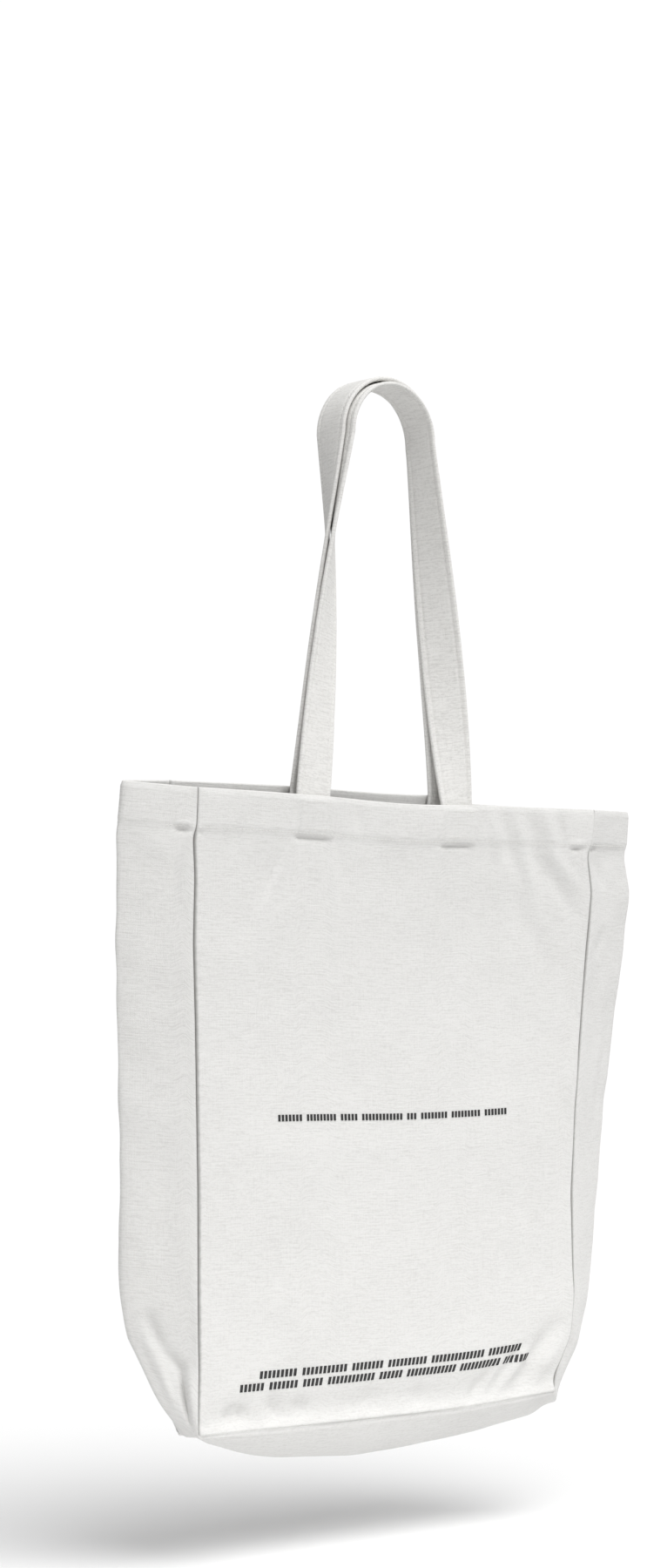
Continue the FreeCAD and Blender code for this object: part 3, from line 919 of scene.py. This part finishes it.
canvas = woven("natural_canvas", (0.82, 0.814, 0.796), (0.70, 0.692, 0.672), 0.62 * MM, 2.2)
strap_canvas = woven("handle_canvas", (0.9, 0.891, 0.866), (0.69, 0.68, 0.655), 0.62 * MM, 1.8)
thread = cotton_thread("cotton_thread", (0.86, 0.85, 0.825))
ink = screen_ink("print_ink")
STITCH_TREE, STITCH_INPUTS = stitch_tree()


# ---- make the bag ----

front_panel = make_panel("canvas_front_panel", -1)
back_panel = make_panel("canvas_back_panel", 1)
left_gusset = make_gusset("canvas_left_gusset", -1)
right_gusset = make_gusset("canvas_right_gusset", 1)
bottom_panel = make_bottom("canvas_bottom_panel")
front_strap = make_strap("canvas_front_handle", -1)
back_strap = make_strap("canvas_back_handle", 1)


def surface_path(face, us, ts, lift):
    """Points that lie on the outside of a panel."""
    down = ts * TALL
    base = panel_point(face, us, ts)
    relief = panel_relief(face, base, down, base[..., 0] - seam_x(-1, down))
    base[:, 1] += face * (relief + CLOTH / 2 + lift)
    return base


def hem_row(face):
    us = np.linspace(0.006, 0.994, 160)
    return surface_path(face, us, np.full_like(us, STITCH_DROP / TALL), 0.05 * MM)


def gusset_row(side):
    w = np.linspace(-0.96, 0.96, 60)
    t = np.full_like(w, STITCH_DROP / TALL)
    points = gusset_point(side, w, t)
    slide = np.gradient(points, axis=0)
    normal = np.cross(slide, np.array([0, 0, 1.0])) * side
    normal /= np.linalg.norm(normal, axis=1, keepdims=True)
    return points + normal * (CLOTH / 2)


def strap_rows(face):
    points, wide, normal, _ = strap_frames(face)
    height = STRAP_THICK / 2 * (1 - GROOVE) + 0.05 * MM
    rows = []
    for edge in (-1, 1):
        for cover in (-1, 1):
            across = edge * (STRAP_WIDE / 2 - STITCH_INSET)
            rows.append((points + wide * across + normal * cover * height)[3:-3])
    return rows


def tack_row(face, side):
    """Rows across the top and bottom of a handle end, on the outside of the hem."""
    rows = []
    for depth in (4.5 * MM, 23.5 * MM):
        xs = np.linspace(ROOT_X[side] - 11.5 * MM, ROOT_X[side] + 11.5 * MM, 12)
        down = np.full_like(xs, depth)
        us = (xs - seam_x(-1, down)) / (seam_x(1, down) - seam_x(-1, down))
        rows.append(surface_path(face, us, down / TALL, 0.02 * MM))
    return rows


hem_stitches = make_stitches("hem_stitches", [hem_row(-1), hem_row(1), gusset_row(-1), gusset_row(1)])
front_stitches = make_stitches("front_handle_stitches", strap_rows(-1), thread_wide=0.6 * MM)
back_stitches = make_stitches("back_handle_stitches", strap_rows(1), thread_wide=0.6 * MM)
tack_rows = [row for face in FACES.values() for side in SIDES.values() for row in tack_row(face, side)]
tack_stitches = make_stitches("handle_end_stitches", tack_rows, pitch=2.2 * MM, stitch=1.9 * MM)


# ---- overlocked seam edges ----

OVERLOCK_WIDE = 5 * MM
OVERLOCK_THICK = 2.6 * MM


def seam_strip(name, line, into):
    """A thread-wrapped edge along a seam allowance: a tube round a line, wider towards the inside."""
    line = np.array(line)
    along = np.gradient(line, axis=0)
    along /= np.linalg.norm(along, axis=1, keepdims=True)
    into = into - (into * along).sum(1, keepdims=True) * along
    into /= np.linalg.norm(into, axis=1, keepdims=True)
    through_cloth = np.cross(along, into)
    rings = []
    for angle in np.linspace(0, 2 * math.pi, 10, endpoint=False):
        wide, thick = OVERLOCK_WIDE / 2 * math.cos(angle), OVERLOCK_THICK / 2 * math.sin(angle)
        rings.append(line + into * wide + through_cloth * thick)
    grid = np.stack(rings, 1)
    rows, count = grid.shape[:2]
    faces = [tube_face(ring, side, count) for ring in range(rows - 1) for side in range(count)]
    faces.append(tuple(range(count)))
    faces.append(tuple((rows - 1) * count + i for i in reversed(range(count))))
    mesh = bpy.data.meshes.new(name)
    mesh.from_pydata(grid.reshape(-1, 3).tolist(), [], faces)
    piece = smooth_piece(name, mesh)
    fix_normals(piece)
    piece.data.materials.append(thread)
    return piece


overlocks = {}
for face_name, face in FACES.items():
    for side_name, side in SIDES.items():
        t = np.linspace((HEM + 3 * MM) / TALL, 0.985, 90)
        edge = seam_point(side, face, t)
        into = np.tile(np.array([[0.0, -face, 0.0]]), (len(t), 1))
        line = edge + into * (ROLL + ALLOWANCE)
        overlocks[f"{face_name}_{side_name}_seam_overlock"] = seam_strip(
            f"{face_name}_{side_name}_overlocked_edge", line, into)
    u = np.linspace(0.03, 0.97, 90)
    edge = panel_point(face, u, np.full_like(u, 1.0))
    into = np.tile(np.array([[0.0, -face * 0.75, 0.66]]), (len(u), 1))
    overlocks[f"{face_name}_bottom_seam_overlock"] = seam_strip(
        f"{face_name}_bottom_overlocked_edge", edge + into * (ROLL + ALLOWANCE + 2 * MM), into)
for side_name, side in SIDES.items():
    w = np.linspace(-0.86, 0.86, 40)
    edge = gusset_point(side, w, np.full_like(w, 1.0))
    into = np.tile(np.array([[-side * 0.5, 0.0, 0.85]]), (len(w), 1))
    overlocks[f"{side_name}_bottom_seam_overlock"] = seam_strip(
        f"{side_name}_bottom_overlocked_edge", edge + into * (ROLL + ALLOWANCE + 2 * MM), into)


# ---- plain printed marks ----

MARK_STEPS = 5          # rungs up each bar
MARK_FILL = 0.6         # a bar's width as a share of the step from bar to bar
GROUP_GAP = 1.1         # the gap between two groups, in steps
MARK_LIFTS = (-0.05 * MM, 0.36 * MM)


def print_marks(name):
    """Three rows of plain upright bars, in groups."""
    rows = [
        # middle, height, from, to across, and how many bars stand in each group
        (228.0, 4.6, 0.198, 0.805, [7, 9, 5, 12, 3, 8, 9, 7]),
        (406.2, 5.2, 0.151, 0.862, [9, 11, 8, 10, 14, 9]),
        (414.4, 5.2, 0.104, 0.896, [6, 7, 5, 12, 6, 13, 11, 7]),
    ]
    vertices, faces = [], []
    for depth, tall, first, last, groups in rows:
        spaces = sum(groups) + GROUP_GAP * (len(groups) - 1)
        step = (last - first) / spaces
        place = first
        for bars in groups:
            for _ in range(bars):
                wide = step * MARK_FILL
                depths = (depth + tall * np.linspace(-0.5, 0.5, MARK_STEPS)) * MM
                sides = []
                for lift in MARK_LIFTS:
                    for across in (place, place + wide):
                        sides.append(surface_path(-1, np.full(MARK_STEPS, across), depths / TALL, lift))
                base = len(vertices)
                for level in zip(*sides):
                    vertices += [tuple(point) for point in level]
                for rung in range(MARK_STEPS - 1):
                    low, high = base + 4 * rung, base + 4 * rung + 4
                    for a, b in ((0, 1), (1, 3), (3, 2), (2, 0)):
                        faces.append((low + a, low + b, high + b, high + a))
                faces.append((base, base + 1, base + 3, base + 2))
                end = base + 4 * (MARK_STEPS - 1)
                faces.append((end, end + 2, end + 3, end + 1))
                place += step
            place += step * GROUP_GAP
    mesh = bpy.data.meshes.new(name)
    mesh.from_pydata(vertices, [], faces)
    piece = bpy.data.objects.new(name, mesh)
    bpy.context.scene.collection.objects.link(piece)
    fix_normals(piece)
    piece.data.materials.append(ink)
    return piece


marks = print_marks("front_print_marks")


# ---- ride and replace ----

def on_bag(piece, slot, *nodes):
    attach(piece, "bag")
    if nodes:
        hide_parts(*nodes)
    return piece


on_bag(front_panel, "canvas", "front_panel")
on_bag(back_panel, "canvas", "back_panel")
on_bag(left_gusset, "canvas", "left_gusset")
on_bag(right_gusset, "canvas", "right_gusset")
on_bag(bottom_panel, "canvas", "bottom_panel")
on_bag(hem_stitches, "thread", "front_hem_stitching", "back_hem_stitching")
on_bag(tack_stitches, "thread", *[f"{f}_{s}_tack_stitching" for f in FACES for s in SIDES])
on_bag(marks, "print_ink")
for node_name, piece in overlocks.items():
    on_bag(piece, "thread", node_name)

for strap, stitches, face_name, body, rim in (
        (front_strap, front_stitches, "front", "front_handle", RIM),
        (back_strap, back_stitches, "back", "back_handle", RIM + BACK_LIFT)):
    for piece in (strap, stitches):
        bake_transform(piece)
    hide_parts(body, *[f"{face_name}_{side_name}_handle_end" for side_name in SIDES])


# ---- floor, light and camera ----

FLOOR_DROP = 60 * MM
FLOOR_RADIUS = 0.95
SURROUND_SHOWN = 1.02       # strength of the white surround as the camera sees it
SURROUND_LIGHT = 0.44       # and as it lights the bag and floor


def make_floor():
    """A round of pale floor under the bag."""
    level = bottom_low.z - FLOOR_DROP
    turns = np.linspace(0, 2 * math.pi, 96, endpoint=False)
    ring = [(FLOOR_RADIUS * math.cos(a), FLOOR_RADIUS * math.sin(a), level) for a in turns]
    mesh = bpy.data.meshes.new("floor")
    mesh.from_pydata(ring, [], [tuple(range(len(ring)))])
    floor = bpy.data.objects.new("floor", mesh)
    bpy.context.scene.collection.objects.link(floor)
    material, _ = principled("pale_floor", (0.92, 0.92, 0.92), 1.0)
    floor.data.materials.append(material)


def make_world():
    """An even white surround that gives less light than it shows."""
    world = bpy.data.worlds.new("soft_studio")
    world.use_nodes = True
    tree = world.node_tree
    back = tree.nodes["Background"]
    back.inputs["Color"].default_value = (1, 1, 1, 1)
    path = tree.nodes.new("ShaderNodeLightPath")
    level = tree.nodes.new("ShaderNodeMapRange")
    level.inputs["To Min"].default_value = SURROUND_LIGHT
    level.inputs["To Max"].default_value = SURROUND_SHOWN
    tree.links.new(path.outputs["Is Camera Ray"], level.inputs["Value"])
    tree.links.new(level.outputs["Result"], back.inputs["Strength"])
    bpy.context.scene.world = world


def make_sun(name, toward, strength, spread):
    data = bpy.data.lights.new(name, "SUN")
    data.energy = strength
    data.angle = math.radians(spread)
    lamp = bpy.data.objects.new(name, data)
    lamp.rotation_euler = Vector(toward).to_track_quat("Z", "Y").to_euler()
    bpy.context.scene.collection.objects.link(lamp)


AZIMUTH = math.radians(-39.89)
ELEVATION = math.radians(-3.80)
DISTANCE = 2.3
LENS = 72.82
level_way = math.cos(ELEVATION)
back_way = Vector((math.sin(AZIMUTH) * level_way, -math.cos(AZIMUTH) * level_way, math.sin(ELEVATION)))
aim = Vector((-0.035, 0.024, -0.2535))

camera_data = bpy.data.cameras.new("camera")
camera_data.lens = LENS
camera_data.sensor_width = 36
camera = bpy.data.objects.new("camera", camera_data)
camera.location = aim + back_way * DISTANCE
camera.rotation_euler = back_way.to_track_quat("Z", "Y").to_euler()
bpy.context.scene.collection.objects.link(camera)
bpy.context.scene.camera = camera

bpy.context.scene.view_settings.view_transform = "Standard"
make_floor()
make_world()
make_sun("key", (0.08, -0.54, 0.83), 2.55, 55)
make_sun("fill", (-0.7, -0.6, 0.3), 0.35, 60)
